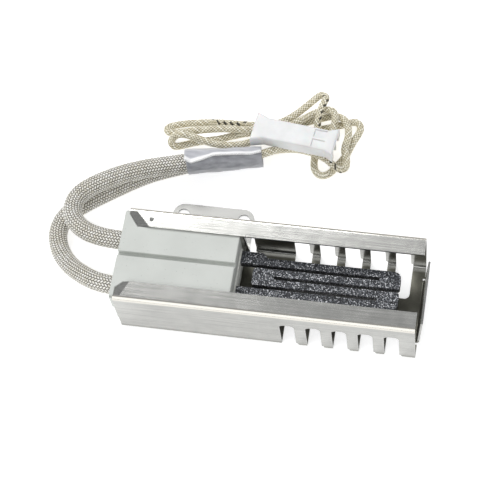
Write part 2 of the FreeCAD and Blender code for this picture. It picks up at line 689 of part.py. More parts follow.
def make_housing():
    """The moulded two-way housing, flared at both ends, its cavities open below under the right flare."""
    w, h, l = HOUSING_WIDTH / 2, HOUSING_HEIGHT, HOUSING_LENGTH
    collar = l - COLLAR_LENGTH
    plan = [V(0, -w - FLARE_OUT, 0), V(FLARE_LENGTH, -w, 0), V(collar, -w, 0), V(l, -w - COLLAR_OUT, 0),
            V(l, w + COLLAR_OUT, 0), V(collar, w, 0), V(FLARE_LENGTH, w, 0), V(0, w + FLARE_OUT, 0)]
    body = prism(plan, UP * h)
    rims = [e for e in body.Edges if e.BoundBox.ZLength < NEAR]
    body = body.makeFillet(HOUSING_EDGE, rims)
    for side in (-1, 1):
        y = side * CAVITY_SPACING / 2
        y0, y1 = y - CAVITY / 2, y + CAVITY / 2
        body = body.cut(box(-PAST, l + PAST, y0, y1, h / 2 - CAVITY / 2, h / 2 + CAVITY / 2))
        body = body.cut(box(collar, l + PAST, y0, y1, -PAST, h / 2))
        window = collar - LATCH_LENGTH - LATCH_DEPTH
        body = body.cut(box(window, window + LATCH_LENGTH, y - LATCH_WIDTH / 2, y + LATCH_WIDTH / 2,
                            h - LATCH_DEPTH, h + PAST))
    return place_on_hank(body)


def make_terminal(side):
    """A crimp terminal seated in its cavity: a folded box, a web and a wire barrel."""
    y, z = side * CAVITY_SPACING / 2, HOUSING_HEIGHT / 2
    half = CAVITY / 2 - TERMINAL_CLEARANCE
    x0 = HOUSING_LENGTH - COLLAR_LENGTH - TERMINAL_LENGTH - TERMINAL_BARREL
    x1 = x0 + TERMINAL_LENGTH
    shell = box(x0, x1, y - half, y + half, z - half, z + half)
    inner = half - TERMINAL_SHEET
    shell = shell.cut(box(x0 - PAST, x1 + PAST, y - inner, y + inner, z - inner, z + inner))
    floor = box(x1 - TERMINAL_LAP, x1 + TERMINAL_BARREL, y - half / 2, y + half / 2,
                z - half, z - half + TERMINAL_SHEET)
    barrel = Part.makeCylinder(half, TERMINAL_BARREL - TERMINAL_LAP, V(x1 + TERMINAL_LAP, y, z), V(1, 0, 0))
    barrel = barrel.cut(Part.makeCylinder(inner, TERMINAL_BARREL, V(x1, y, z), V(1, 0, 0)))
    return place_on_hank(shell.fuse(floor).fuse(barrel).removeSplitter())


def build():
    """Every piece by its node name."""
    element = make_element()
    tracer = make_lead("tracer_lead", 1, TRACER_LEAD_ROUTE)
    plain = make_lead("plain_lead", -1, PLAIN_LEAD_ROUTE)
    return {
        "cage": make_cage(),
        "block_top_half": make_block_top_half(),
        "block_bottom_half": make_block_bottom_half(),
        "heating_element": element,
        "pad_cement": make_cement(element),
        "rear_pad_clip": make_clip(1),
        "front_pad_clip": make_clip(-1),
        "rear_sleeve": make_sleeve("rear_sleeve", 1, REAR_SLEEVE_ROUTE),
        "front_sleeve": make_sleeve("front_sleeve", -1, FRONT_SLEEVE_ROUTE),
        "splice_tube": make_splice_tube(),
        "upper_splice_crimp": make_crimp(1),
        "lower_splice_crimp": make_crimp(-1),
        "tracer_lead": tracer,
        "plain_lead": plain,
        "tracer_lead_hank": hank(TRACER_HANK, TRACER_HANK_EYE, UPPER_LAYER).cut(tracer),
        "plain_lead_hank": hank(PLAIN_HANK, PLAIN_HANK_EYE, LOWER_LAYER).cut(plain),
        "connector_housing": make_housing(),
        "rear_terminal": make_terminal(1),
        "front_terminal": make_terminal(-1),
    }


os.makedirs("parts", exist_ok=True)
for node, shape in build().items():
    shape.exportStep("parts/%s.step" % node)
    print(node, "solids", len(shape.Solids), "valid", shape.isValid(), "volume %.1f" % shape.Volume)
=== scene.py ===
import math

import bpy
import numpy as np
from mathutils import Matrix, Vector


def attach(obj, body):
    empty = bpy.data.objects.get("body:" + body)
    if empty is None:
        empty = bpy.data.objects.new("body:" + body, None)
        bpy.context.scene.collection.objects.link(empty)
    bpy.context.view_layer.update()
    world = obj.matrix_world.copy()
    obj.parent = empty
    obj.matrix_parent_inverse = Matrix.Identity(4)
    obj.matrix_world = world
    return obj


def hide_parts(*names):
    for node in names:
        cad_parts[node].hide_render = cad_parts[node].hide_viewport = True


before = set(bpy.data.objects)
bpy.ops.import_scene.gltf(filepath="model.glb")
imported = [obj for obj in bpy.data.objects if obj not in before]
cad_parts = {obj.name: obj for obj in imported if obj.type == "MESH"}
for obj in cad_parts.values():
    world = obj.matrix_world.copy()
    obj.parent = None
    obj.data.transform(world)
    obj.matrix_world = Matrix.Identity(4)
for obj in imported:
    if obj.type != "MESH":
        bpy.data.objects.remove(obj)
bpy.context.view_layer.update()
MM = 0.001


# Folded cage
# One steel sheet, 0.8 mm thick with a bright zinc finish, blanked, slotted and folded.
# Rolling and brushing leave fine lines along its length. The inside of its floor is rougher and painted darker
# as painted shade.

def linear(code):
    """An sRGB hex colour as linear light, with full alpha."""
    parts = [int(code[i:i + 2], 16) / 255 for i in (1, 3, 5)]
    return (*[c / 12.92 if c <= 0.04045 else ((c + 0.055) / 1.055) ** 2.4 for c in parts], 1)


def add(tree, kind, inputs=(), stops=(), **settings):
    """Adds one shader node with its settings and colour stops. An input is a value or the socket feeding it."""
    node = tree.nodes.new("ShaderNode" + kind)
    if stops:
        node.color_ramp.elements.remove(node.color_ramp.elements[1])
    for i, (spot, shade) in enumerate(stops):
        stop = node.color_ramp.elements[0] if i == 0 else node.color_ramp.elements.new(spot)
        stop.position, stop.color = spot, linear(shade)
    for name, value in settings.items():
        setattr(node, name, value)
    for name, value in dict(inputs).items():
        if isinstance(value, bpy.types.NodeSocket):
            tree.links.new(value, node.inputs[name])
        else:
            node.inputs[name].default_value = value
    return node


def new_material(name, **constants):
    """A material whose shader has these constant values, with its node tree and its shader."""
    material = bpy.data.materials.new(name)
    material.use_nodes = True
    shader = material.node_tree.nodes["Principled BSDF"]
    for socket, value in constants.items():
        shader.inputs[socket.replace("_", " ")].default_value = value
    return material, material.node_tree, shader


def dress(material, *names):
    """Gives CAD nodes this material in place of their plain one."""
    for name in names:
        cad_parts[name].data.materials.clear()
        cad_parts[name].data.materials.append(material)


# Brushed zinc-coated steel: satin, with fine lines along it and a slight cloudiness.
# The floor inside is rougher and painted darker as painted shade, the tab behind the rear wall is darker and a
# little rougher, and the outer top bends carry a painted highlight.
# The real brush lines are finer than 0.42 mm and are drawn coarser here, so that they show.
BRUSH_LENGTH = 30 * MM
BRUSH_SPACING = 0.42 * MM
CLOUD = 7 * MM
FLOOR_TOP = 0.7 * MM
FLOOR_SHADE_HEIGHT = 3.0 * MM
REAR_WALL_INSIDE = (-14.4 * MM, -13.4 * MM)
TAB_EDGE = (-10.5 * MM, -9.5 * MM)
CAGE_MIDDLE_Y = -30.15 * MM
BEND_HIGHLIGHT_OUT = (17.35 * MM, 17.65 * MM)
BEND_HIGHLIGHT_UP = (23.7 * MM, 24.0 * MM)
steel, tree, shader = new_material("brushed_zinc_coated_steel", Metallic=1.0)
place = add(tree, "TexCoord").outputs["Object"]
along = add(tree, "Mapping", {"Vector": place,
                              "Scale": (1 / BRUSH_LENGTH, 1 / BRUSH_SPACING, 1 / BRUSH_SPACING)})
lines = add(tree, "TexNoise", {"Vector": along.outputs["Vector"], "Scale": 1.0, "Detail": 4.0,
                               "Roughness": 0.65})
clouds = add(tree, "TexNoise", {"Vector": place, "Scale": 1 / CLOUD, "Detail": 5.0, "Roughness": 0.6})
spot = add(tree, "SeparateXYZ", {"Vector": place})
# Painted shade: in front of the rear wall's inside face and below 3 mm, mostly the floor inside, the steel is
# painted a darker olive grey.
low = add(tree, "MapRange", {"Value": spot.outputs["Z"], "From Min": FLOOR_TOP, "From Max": FLOOR_SHADE_HEIGHT,
                             "To Min": 1.0, "To Max": 0.0})
inside = add(tree, "MapRange", {"Value": spot.outputs["Y"], "From Min": REAR_WALL_INSIDE[0],
                                "From Max": REAR_WALL_INSIDE[1], "To Min": 1.0, "To Max": 0.0})
painted_floor_shade = add(tree, "Math", {0: low.outputs["Result"], 1: inside.outputs["Result"]}, operation="MULTIPLY")
# The tab behind the rear wall is drawn darker and a little rougher.
tab_mask = add(tree, "MapRange", {"Value": spot.outputs["Y"], "From Min": TAB_EDGE[0], "From Max": TAB_EDGE[1],
                                 "To Min": 0.0, "To Max": 1.0})
sheen = add(tree, "MixRGB", {"Fac": 0.3, "Color1": lines.outputs["Fac"], "Color2": clouds.outputs["Fac"]})
bright = add(tree, "ValToRGB", {"Fac": sheen.outputs["Color"]}, [(0.38, "#a3a3a0"), (0.62, "#bcbcb8")])
tab = add(tree, "MixRGB", {"Fac": tab_mask.outputs["Result"], "Color1": bright.outputs["Color"],
                           "Color2": linear("#7b7b79")})
shaded_floor_colour = add(tree, "ValToRGB", {"Fac": clouds.outputs["Fac"]}, [(0.35, "#64635a"), (0.65, "#7d7c72")])
# Painted highlight: the outer top bends are painted pale cream, for the light they reflect.
aside = add(tree, "Math", {0: spot.outputs["Y"], 1: -CAGE_MIDDLE_Y}, operation="ADD")
outer = add(tree, "Math", {0: aside.outputs["Value"]}, operation="ABSOLUTE")
at_wall = add(tree, "MapRange", {"Value": outer.outputs["Value"], "From Min": BEND_HIGHLIGHT_OUT[0],
                                 "From Max": BEND_HIGHLIGHT_OUT[1]})
at_top = add(tree, "MapRange", {"Value": spot.outputs["Z"], "From Min": BEND_HIGHLIGHT_UP[0],
                                "From Max": BEND_HIGHLIGHT_UP[1]})
painted_bend_highlight = add(tree, "Math", {0: at_wall.outputs["Result"], 1: at_top.outputs["Result"]}, operation="MULTIPLY")
folded = add(tree, "MixRGB", {"Fac": painted_bend_highlight.outputs["Value"], "Color1": tab.outputs["Color"],
                              "Color2": linear("#d4d1c9")})
colour = add(tree, "MixRGB", {"Fac": painted_floor_shade.outputs["Value"], "Color1": folded.outputs["Color"],
                              "Color2": shaded_floor_colour.outputs["Color"]})
tree.links.new(colour.outputs["Color"], shader.inputs["Base Color"])
rough = add(tree, "MapRange", {"Value": clouds.outputs["Fac"], "From Min": 0.3, "From Max": 0.7,
                               "To Min": 0.17, "To Max": 0.20})
roughness_with_floor = add(tree, "Math", {0: painted_floor_shade.outputs["Value"], 1: 0.25, 2: rough.outputs["Result"]},
           operation="MULTIPLY_ADD")
roughness_with_floor_and_tab = add(tree, "Math", {0: tab_mask.outputs["Result"], 1: 0.1, 2: roughness_with_floor.outputs["Value"]},
             operation="MULTIPLY_ADD")
tree.links.new(roughness_with_floor_and_tab.outputs["Value"], shader.inputs["Roughness"])
dress(steel, "cage")


# Ceramic block
# Two pressed halves of steatite ceramic, fired and left unglazed, that clasp the pads of the element.
# The upper half has a groove along its top.

# Unglazed steatite: dull pale greenish white, with fine pores and a few dark iron specks
PORE = 0.5 * MM
SPECK = 1.6 * MM
FIRING_CLOUD = 12 * MM
steatite, tree, shader = new_material("unglazed_steatite", Roughness=0.62, IOR=1.55)
place = add(tree, "TexCoord").outputs["Object"]
tone = add(tree, "TexNoise", {"Vector": place, "Scale": 1 / FIRING_CLOUD, "Detail": 4.0})
pores = add(tree, "TexNoise", {"Vector": place, "Scale": 1 / PORE, "Detail": 3.0, "Roughness": 0.7})
specks = add(tree, "TexVoronoi", {"Vector": place, "Scale": 1 / SPECK, "Randomness": 1.0})
body = add(tree, "ValToRGB", {"Fac": tone.outputs["Fac"]}, [(0.35, "#cbcec9"), (0.65, "#d1d4cf")])
dark = add(tree, "ValToRGB", {"Fac": specks.outputs["Distance"]}, [(0.06, "#000000"), (0.13, "#ffffff")])
mottled = add(tree, "MixRGB", {"Fac": 0.25, "Color1": body.outputs["Color"], "Color2": dark.outputs["Color"]},
              blend_type="MULTIPLY")
tree.links.new(mottled.outputs["Color"], shader.inputs["Base Color"])
relief = add(tree, "Bump", {"Height": pores.outputs["Fac"], "Strength": 0.35, "Distance": 0.08 * MM})
tree.links.new(relief.outputs["Normal"], shader.inputs["Normal"])
dress(steatite, "block_top_half", "block_bottom_half")


# Heating element
# Four legs sawn from one plate of recrystallised silicon carbide, which glow when current flows.
# It is held only by its two pads in the block.

# Recrystallised silicon carbide: dark blue grey, coarse and dry, with its palest grains painted near white as
# painted glints.
# Below its top face, in its sides and saw cuts, it is painted nearly black as painted shade. Its grains are
# drawn a little coarser than real, so that they show.
GRAIN = 0.27 * MM
CUT_DARK_Z = 15.0 * MM
TOP_FACE_Z = 16.4 * MM
carbide, tree, shader = new_material("recrystallised_silicon_carbide", Metallic=0.25, IOR=2.65,
                                     Specular_IOR_Level=0.2)
place = add(tree, "TexCoord").outputs["Object"]
grains = add(tree, "TexVoronoi", {"Vector": place, "Scale": 1 / GRAIN, "Randomness": 1.0})
grain_tone = add(tree, "SeparateColor", {"Color": grains.outputs["Color"]}).outputs["Red"]
# Painted glints: the top stop of this ramp paints the palest grains near white, for the light their facets
# catch.
body = add(tree, "ValToRGB", {"Fac": grain_tone},
           [(0.0, "#0f1013"), (0.6, "#2f3238"), (0.85, "#646870"), (1.0, "#f2f4f8")])
# Painted shade: below the top face the colour fades to nearly black, for the shade in the saw cuts.
spot = add(tree, "SeparateXYZ", {"Vector": place})
sawn = add(tree, "MapRange", {"Value": spot.outputs["Z"], "From Min": CUT_DARK_Z, "From Max": TOP_FACE_Z,
                              "To Min": 0.15, "To Max": 1.0})
painted_cut_shade = add(tree, "MixRGB", {"Fac": sawn.outputs["Result"], "Color1": linear("#030303"),
                              "Color2": body.outputs["Color"]})
tree.links.new(painted_cut_shade.outputs["Color"], shader.inputs["Base Color"])
glint = add(tree, "MapRange", {"Value": grain_tone, "From Min": 0.4, "From Max": 1.0,
                               "To Min": 0.8, "To Max": 0.4})
tree.links.new(glint.outputs["Result"], shader.inputs["Roughness"])
relief = add(tree, "Bump", {"Height": grains.outputs["Distance"], "Strength": 0.5, "Distance": 0.1 * MM})
tree.links.new(relief.outputs["Normal"], shader.inputs["Normal"])
dress(carbide, "heating_element")


# Pad cement
# Refractory cement pressed by hand round the pads in the block's mouth, then fired.

# Fired refractory cement: chalky, nearly white, lumpy
LUMP = 1.2 * MM
chalk, tree, shader = new_material("fired_refractory_cement", Roughness=0.9)
place = add(tree, "TexCoord").outputs["Object"]
lumps = add(tree, "TexNoise", {"Vector": place, "Scale": 1 / LUMP, "Detail": 5.0})
paste = add(tree, "ValToRGB", {"Fac": lumps.outputs["Fac"]}, [(0.3, "#cfd0ca"), (0.7, "#f1f1ec")])
tree.links.new(paste.outputs["Color"], shader.inputs["Base Color"])
relief = add(tree, "Bump", {"Height": lumps.outputs["Fac"], "Strength": 0.9, "Distance": 0.4 * MM})
tree.links.new(relief.outputs["Normal"], shader.inputs["Normal"])
dress(chalk, "pad_cement")


# Clips, crimps and terminals
# Small parts stamped from sheet and crimped on the wires, hidden in the block, the tube and the housing.

# Stamped nickel: bare, warm grey, slightly dulled
PATCH = 2 * MM
nickel, tree, shader = new_material("stamped_nickel", Metallic=1.0)
place = add(tree, "TexCoord").outputs["Object"]
patches = add(tree, "TexNoise", {"Vector": place, "Scale": 1 / PATCH, "Detail": 3.0})
greys = add(tree, "ValToRGB", {"Fac": patches.outputs["Fac"]}, [(0.3, "#a39d92"), (0.7, "#c2bcb0")])
tree.links.new(greys.outputs["Color"], shader.inputs["Base Color"])
rough = add(tree, "MapRange", {"Value": patches.outputs["Fac"], "To Min": 0.2, "To Max": 0.45})
tree.links.new(rough.outputs["Result"], shader.inputs["Roughness"])
dress(nickel, "rear_pad_clip", "front_pad_clip", "upper_splice_crimp", "lower_splice_crimp")

# Stamped brass: yellow, slightly tarnished
brass, tree, shader = new_material("stamped_brass", Metallic=1.0)
place = add(tree, "TexCoord").outputs["Object"]
patches = add(tree, "TexNoise", {"Vector": place, "Scale": 1 / PATCH, "Detail": 3.0})
yellows = add(tree, "ValToRGB", {"Fac": patches.outputs["Fac"]}, [(0.3, "#b58f4d"), (0.7, "#d3b06a")])
tree.links.new(yellows.outputs["Color"], shader.inputs["Base Color"])
rough = add(tree, "MapRange", {"Value": patches.outputs["Fac"], "To Min": 0.2, "To Max": 0.4})
tree.links.new(rough.outputs["Result"], shader.inputs["Roughness"])
dress(brass, "rear_terminal", "front_terminal")


# Braided sleeves
# Each lead of the block wears a sleeve braided from glass yarn, 7.4 mm over all.
# They leave the block's two bores, turn back past its rear corner and end in the splice tube.

def centreline(name, route, step):
    """Points a step apart along the smooth curve that a route of control points in millimetres gives."""
    curve = bpy.data.curves.new(name, "CURVE")
    curve.dimensions = "3D"
    curve.resolution_u = 24
    spline = curve.splines.new("NURBS")
    spline.points.add(len(route) - 1)
    for point, (x, y, z) in zip(spline.points, route):
        point.co = (x * MM, y * MM, z * MM, 1)
    spline.order_u = 3
    spline.use_endpoint_u = True
    line = bpy.data.objects.new(name, curve)
    bpy.context.scene.collection.objects.link(line)
    bpy.context.view_layer.update()
    mesh = bpy.data.meshes.new_from_object(line)
    points = np.array([v.co for v in mesh.vertices], float)
    bpy.data.objects.remove(line)
    bpy.data.meshes.remove(mesh)
    reach = np.concatenate([[0], np.cumsum(np.linalg.norm(np.diff(points, axis=0), axis=1))])
    count = int(round(reach[-1] / step)) + 1
    even = np.linspace(0, reach[-1], count)
    return np.stack([np.interp(even, reach, points[:, i]) for i in range(3)], axis=1)


def carried_frames(centres):
    """Two directions across the line at each point, carried along it without twist."""
    tangents = np.gradient(centres, axis=0)
    tangents /= np.linalg.norm(tangents, axis=1)[:, None]
    side = np.cross(tangents[0], (0, 0, 1))
    side /= np.linalg.norm(side)
    sides = []
    for tangent in tangents:
        side = side - tangent * side.dot(tangent)
        side /= np.linalg.norm(side)
        sides.append(side)
    sides = np.array(sides)
    return sides, np.cross(sides, tangents)


def braid_relief(turns, reach, radius, strands, under):
    """Height of a two-way braid, 0 in a gap and 1 on a strand, a tracer's beads, and each strand's own tone.

    Each strand passes over and under the same number of strands of the other way."""
    lay = reach / (2 * math.pi * radius / strands)
    one, two = strands * turns + lay, strands * turns - lay
    cell_one, cell_two = np.floor(one), np.floor(two)
    across_one, across_two = one - cell_one, two - cell_two
    step = (cell_one + cell_two) % (2 * under)
    first_over = step < under
    float_one = np.sin(math.pi * (step + across_two) / under)
    float_two = np.sin(math.pi * (step - under + across_one) / under)
    dome_one = np.sqrt(np.clip(1 - (2 * across_one - 1) ** 2, 0, 1)) * (0.25 + 0.75 * float_one)
    dome_two = np.sqrt(np.clip(1 - (2 * across_two - 1) ** 2, 0, 1)) * (0.25 + 0.75 * float_two)
    height = np.where(first_over, dome_one, dome_two)
    index = np.where(first_over, cell_one % strands, strands + cell_two % strands)
    column = (cell_one + cell_two) % (2 * strands)
    bead = np.floor((cell_one - cell_two) / 2) % 2
    tracer = (height > 0.3) * (column < 2) * (bead == column)
    return height, tracer, np.sin(index * 12.9898) * 43758.5453 % 1


def braided_tube(name, centres, radius, strands, under, around, relief, turned):
    """A closed tube along the line, whose surface is the braid itself, turned at each ring by some turns."""
    sides, ups = carried_frames(centres)
    count = len(centres)
    turns = np.arange(around) / around
    angles = 2 * math.pi * (turns[None, :] + turned[:, None])
    reach = np.concatenate([[0], np.cumsum(np.linalg.norm(np.diff(centres, axis=0), axis=1))])
    height, tracer, tone = braid_relief(turns[None, :], reach[:, None], radius, strands, under)
    out = sides[:, None, :] * np.cos(angles)[:, :, None] + ups[:, None, :] * np.sin(angles)[:, :, None]
    rings = centres[:, None, :] + out * (radius - relief * (1 - height))[:, :, None]
    i = np.arange(count - 1)[:, None] * around
    j = np.arange(around)[None, :]
    k = (j + 1) % around
    faces = np.stack([i + j, i + k, i + around + k, i + around + j], axis=2).reshape(-1, 4).tolist()
    faces.append(list(range(around))[::-1])
    faces.append(list(range((count - 1) * around, count * around)))
    mesh = bpy.data.meshes.new(name)
    mesh.from_pydata(rings.reshape(-1, 3).tolist(), [], faces)
    for label, values in (("height", height), ("tracer", tracer), ("tone", tone)):
        layer = mesh.attributes.new(label, "FLOAT", "POINT")
        layer.data.foreach_set("value", np.ascontiguousarray(values, np.float32).ravel())
    mesh.polygons.foreach_set("use_smooth", [True] * len(mesh.polygons))
    mesh.update()
    tube = bpy.data.objects.new(name, mesh)
    bpy.context.scene.collection.objects.link(tube)
    return tube


# Braided glass yarn: silvery, with a painted shine on each strand's crown and painted olive shade in the gaps.
# The real braid is finer than 20 strands a way and is drawn coarser here, so that the strands show.
glass, tree, shader = new_material("braided_glass_yarn", Roughness=0.42, Sheen_Weight=0.3, IOR=1.52)
high = add(tree, "Attribute", attribute_name="height").outputs["Fac"]
tone = add(tree, "Attribute", attribute_name="tone").outputs["Fac"]
# Painted light: by the braid's height, the gaps are painted dark olive as painted shade and the crowns near
# white as painted shine.
shade = add(tree, "ValToRGB", {"Fac": high},
            [(0.2, "#38352d"), (0.45, "#8d897e"), (0.7, "#eceae5"), (1.0, "#fdfcfa")])
vary = add(tree, "ValToRGB", {"Fac": tone}, [(0.0, "#e9e6dc"), (1.0, "#ffffff")])
yarn = add(tree, "MixRGB", {"Fac": 1.0, "Color1": shade.outputs["Color"], "Color2": vary.outputs["Color"]},
           blend_type="MULTIPLY")
tree.links.new(yarn.outputs["Color"], shader.inputs["Base Color"])

SLEEVE_RADIUS = 3.7 * MM
SLEEVE_STRANDS = 20
SLEEVE_FLOAT = 2
SLEEVE_RELIEF = 0.36 * MM
SLEEVE_STEP = 0.17 * MM
SLEEVE_AROUND = 140
SLEEVES = {
    "rear_sleeve": [
        (-23.7, -20.75, 15.1), (-33.7, -20.75, 15.1), (-43.8, -18.6, 13.7), (-50.8, -13.7, 12.4),
        (-53.2, -7.7, 11.7), (-52.0, -1.8, 11.5), (-47.2, 2.9, 11.5), (-38.8, 8.3, 11.4),
        (-29.8, 11.9, 11.6), (-21.0, 14.4, 11.9), (-10.5, 16.8, 12.3),
    ],
    "front_sleeve": [
        (-23.7, -39.55, 15.1), (-33.7, -39.55, 15.1), (-42.4, -35.4, 11.7), (-50.4, -29.8, 7.3),
        (-56.2, -22.8, 4.7), (-59.0, -14.8, 4.0), (-57.2, -7.2, 3.9), (-50.8, -1.4, 3.9),
        (-42.2, 4.9, 3.9), (-33.0, 11.3, 3.9), (-24.0, 16.2, 4.1), (-11.4, 20.3, 5.1),
    ],
}
sleeve_line = {}
for name, route in SLEEVES.items():
    sleeve_line[name] = centreline(name + "_line", route, SLEEVE_STEP)
    straight = np.zeros(len(sleeve_line[name]))
    piece = braided_tube(name + "_braid", sleeve_line[name], SLEEVE_RADIUS, SLEEVE_STRANDS, SLEEVE_FLOAT,
                         SLEEVE_AROUND, SLEEVE_RELIEF, straight)
    piece.data.materials.append(glass)
    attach(piece, "root")
    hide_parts(name)


# Splice tube
# A sheet of coated glass cloth wrapped once round both splices and shrunk flat, its cut edge along the top.
# It is a tall oval over the sleeves and draws in towards the thin leads.

SPLICE_LENGTH = 29.0
SPLICE_LEFT = Vector((-12.4, 18.2, 8.9))
SPLICE_YAW = math.radians(14.1)
SPLICE_WALL = 0.7
SPLICE_STEPS = 60
SPLICE_AROUND = 150
WRAP_OVERLAP = 0.42
LAP_RISE = 0.12
LAP_GAP = 0.05
CURL = 0.05
CURL_LIFT = 0.9
EDGE_SLANT = 0.012
EDGE_SLANT_FADE = 7
# The oval's half height, its lean to the rear and its end radius, each at the sleeves and at the thin leads
HALF_HEIGHT = (3.75, 1.55)
LEAN = (1.8, 0.744)
END_RADIUS = (4.6, 3.7)
DROP = 3.1
SIDE_FLATNESS = 1.6
# Shallow ripples of the shrunk sheet: their height, their waves along the tube and their waves round it
RIPPLES = ((0.12, 9, 3), (0.08, 23, -2))


def between(ends, share):
    """A value that goes evenly from the left end to the right end of the tube."""
    return ends[0] + (ends[1] - ends[0]) * share


def splice_ring(share, turn, lift):
    """A point on the wrapped sheet, from its share of the length, its turn and its lift off the wrap."""
    along = SPLICE_LENGTH * share
    direction = Vector((math.cos(SPLICE_YAW), math.sin(SPLICE_YAW), 0))
    across = Vector((-math.sin(SPLICE_YAW), math.cos(SPLICE_YAW), 0))
    middle = SPLICE_LEFT + direction * along + Vector((0, 0, -DROP * share))
    up = across * -between(LEAN, share) + Vector((0, 0, between(HALF_HEIGHT, share)))
    stand = up.normalized()
    side = stand.cross(direction)
    angle = 2 * math.pi * turn
    sideways = math.cos(angle)
    upward = math.sin(angle)
    ripple = sum(high * math.sin(long * share + round_it * angle) for high, long, round_it in RIPPLES)
    reach = between(END_RADIUS, share) + lift + ripple
    centre = middle + stand * (up.length * max(-1, min(1, SIDE_FLATNESS * upward)))
    return centre + side * (sideways * reach) + stand * (upward * reach)


# Where the cut edge lies, in turns round the tube, at shares of its length
SEAM_PLACES = (0, 0.07, 0.22, 0.36, 0.62, 0.87, 1)
SEAM_TURNS = (0.217, 0.262, 0.232, 0.192, 0.191, 0.197, 0.175)


def wrapped_sheet():
    """The splice tube as one sheet wound a little over one turn."""
    rows = []
    laps = []
    cuts = []
    for i in range(SPLICE_STEPS + 1):
        share = i / SPLICE_STEPS
        seam = float(np.interp(share, SEAM_PLACES, SEAM_TURNS))
        for j in range(SPLICE_AROUND + 1):
            wound = (1 + WRAP_OVERLAP) * j / SPLICE_AROUND
            over = max(0, min(1, (wound - 1 + LAP_RISE / 2) / LAP_RISE))
            lift = (SPLICE_WALL + LAP_GAP) * over * over * (3 - 2 * over)
            curl = max(0, 1 - (1 + WRAP_OVERLAP - wound) / CURL)
            lift += CURL_LIFT * curl * curl
            start = EDGE_SLANT * max(0, 1 - share * EDGE_SLANT_FADE) * (j / SPLICE_AROUND) ** 3
            laps.append(over)
            cuts.append(min(1, 3 * curl))
            rows.append(splice_ring(share - start, seam - (1 + WRAP_OVERLAP) + wound, lift) * MM)
    faces = []
    for i in range(SPLICE_STEPS):
        for j in range(SPLICE_AROUND):
            a = i * (SPLICE_AROUND + 1) + j
            faces.append((a, a + 1, a + SPLICE_AROUND + 2, a + SPLICE_AROUND + 1))
    mesh = bpy.data.meshes.new("splice_wrap")
    mesh.from_pydata(rows, [], faces)
    mesh.attributes.new("lap", "FLOAT", "POINT").data.foreach_set("value", laps)
    mesh.attributes.new("cut", "FLOAT", "POINT").data.foreach_set("value", cuts)
    mesh.polygons.foreach_set("use_smooth", [True] * len(faces))
    wrap = bpy.data.objects.new("splice_wrap", mesh)
    bpy.context.scene.collection.objects.link(wrap)
    thick = wrap.modifiers.new("sheet", "SOLIDIFY")
    thick.thickness = SPLICE_WALL * MM
    thick.offset = -1
    thick.use_even_offset = True
    thick.material_offset_rim = 1
    return wrap


# Coated glass cloth: cool grey and satin, with soft streaks along the wrap.
# Its outer lap, over the top, is painted paler as painted light, the rest of the wrap darker as painted shade,
# and it is white at the cut.
STREAK_LENGTH = 9 * MM
STREAK_WIDTH = 1.6 * MM
coated, tree, shader = new_material("coated_glass_cloth", Roughness=0.38, IOR=1.5)
place = add(tree, "TexCoord").outputs["Object"]
drawn = add(tree, "Mapping", {"Vector": place, "Rotation": (0, 0, -SPLICE_YAW),
                              "Scale": (1 / STREAK_LENGTH, 1 / STREAK_WIDTH, 1 / STREAK_WIDTH)})
streaks = add(tree, "TexNoise", {"Vector": drawn.outputs["Vector"], "Scale": 1.0, "Detail": 3.0})
# Painted light and shade: the same cloth in a darker shaded copy for the wrap and a paler lit copy for its
# outer lap.
shaded_wrap_colour = add(tree, "ValToRGB", {"Fac": streaks.outputs["Fac"]}, [(0.3, "#8c8d92"), (0.7, "#b0b1b6")])
outer = add(tree, "ValToRGB", {"Fac": streaks.outputs["Fac"]}, [(0.3, "#b2b3b9"), (0.7, "#cbccd1")])
lap = add(tree, "Attribute", attribute_name="lap").outputs["Fac"]
cloth = add(tree, "MixRGB", {"Fac": lap, "Color1": shaded_wrap_colour.outputs["Color"], "Color2": outer.outputs["Color"]})
cut = add(tree, "Attribute", attribute_name="cut").outputs["Fac"]
edged = add(tree, "MixRGB", {"Fac": cut, "Color1": cloth.outputs["Color"], "Color2": linear("#ffffff")})
tree.links.new(edged.outputs["Color"], shader.inputs["Base Color"])
relief = add(tree, "Bump", {"Height": streaks.outputs["Fac"], "Strength": 0.4, "Distance": 0.3 * MM})
tree.links.new(relief.outputs["Normal"], shader.inputs["Normal"])

# Cut edge of the cloth: white glass fibre ends
FIBRE_END = 0.5 * MM
cut_edge, tree, shader = new_material("cut_glass_cloth_edge", Roughness=0.8)
place = add(tree, "TexCoord").outputs["Object"]
fibres = add(tree, "TexNoise", {"Vector": place, "Scale": 1 / FIBRE_END, "Detail": 2.0})
whites = add(tree, "ValToRGB", {"Fac": fibres.outputs["Fac"]}, [(0.3, "#dedfe0"), (0.7, "#fbfbfa")])
tree.links.new(whites.outputs["Color"], shader.inputs["Base Color"])

wrap = wrapped_sheet()
wrap.data.materials.append(coated)
wrap.data.materials.append(cut_edge)
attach(wrap, "root")
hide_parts("splice_tube")


# Thin leads
# Two 3 mm leads braided from varnished glass yarn, one with a dark tracer strand.
# They run from the splices under the housing, back round in loose loops, and up into its right end.

